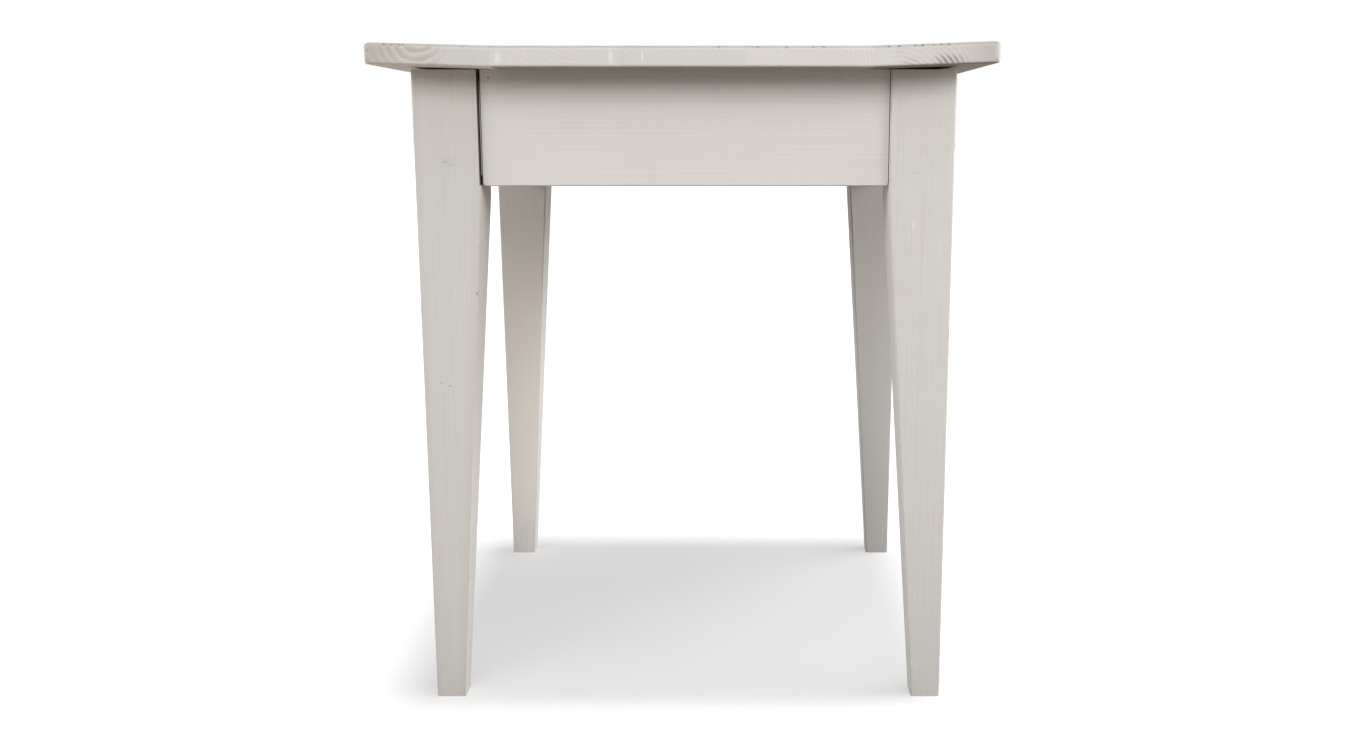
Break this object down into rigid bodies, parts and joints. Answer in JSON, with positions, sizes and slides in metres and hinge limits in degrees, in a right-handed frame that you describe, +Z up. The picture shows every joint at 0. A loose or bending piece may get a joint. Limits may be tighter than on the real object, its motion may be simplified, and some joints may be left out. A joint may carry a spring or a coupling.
{
  "type": "kitchen table with drawers",
  "caption": "Rectangular whitewashed pine kitchen table with square tapered legs, plain aprons and knobbed drawers sliding out of one long side.",
  "frame": {"origin": "on the floor under the middle of the tabletop", "axes": "+Z up, +Y along the table towards the far end, +X across it away from the drawer side"},
  "size_m": [0.686, 0.73, 0.7648],
  "materials": {
    "painted_wood": "thin greyish white wash with fine brush marks, matt",
    "tabletop": "thin greyish white wash, growth rings showing on the end grain, matt",
    "bare_wood": "planed unpainted pine",
    "steel": "zinc plated"
  },
  "bodies": {
    "table": {"apron_back": "painted_wood", "apron_far": "painted_wood", "apron_near": "painted_wood", "drawer_divider": "painted_wood", "drawer_stops": "bare_wood", "guide_far": "bare_wood", "guide_middle": "bare_wood", "guide_near": "bare_wood", "kicker_far": "bare_wood", "kicker_middle": "bare_wood", "kicker_near": "bare_wood", "leg_far_left": "painted_wood", "leg_far_right": "painted_wood", "leg_near_left": "painted_wood", "leg_near_right": "painted_wood", "rail_low": "painted_wood", "rail_top": "painted_wood", "runner_far": "bare_wood", "runner_middle": "bare_wood", "runner_near": "bare_wood", "top_board_1": "tabletop", "top_board_2": "tabletop", "top_board_3": "tabletop", "top_board_4": "tabletop", "top_board_5": "tabletop", "top_screws": "steel"},
    "near_drawer": {"near_drawer_back": "bare_wood", "near_drawer_bottom": "bare_wood", "near_drawer_front": "painted_wood", "near_drawer_knob": "painted_wood", "near_drawer_knob_screw": "steel", "near_drawer_side_far": "bare_wood", "near_drawer_side_near": "bare_wood"},
    "far_drawer": {"far_drawer_back": "bare_wood", "far_drawer_bottom": "bare_wood", "far_drawer_front": "painted_wood", "far_drawer_knob": "painted_wood", "far_drawer_knob_screw": "steel", "far_drawer_side_far": "bare_wood", "far_drawer_side_near": "bare_wood"}
  },
  "joints": [
    {"name": "near_drawer_slide", "type": "slide", "parent": "table", "child": "near_drawer", "axis": [-1, 0, 0], "range_m": [0, 0.3]},
    {"name": "far_drawer_slide", "type": "slide", "parent": "table", "child": "far_drawer", "axis": [-1, 0, 0], "range_m": [0, 0.3]}
  ]
}
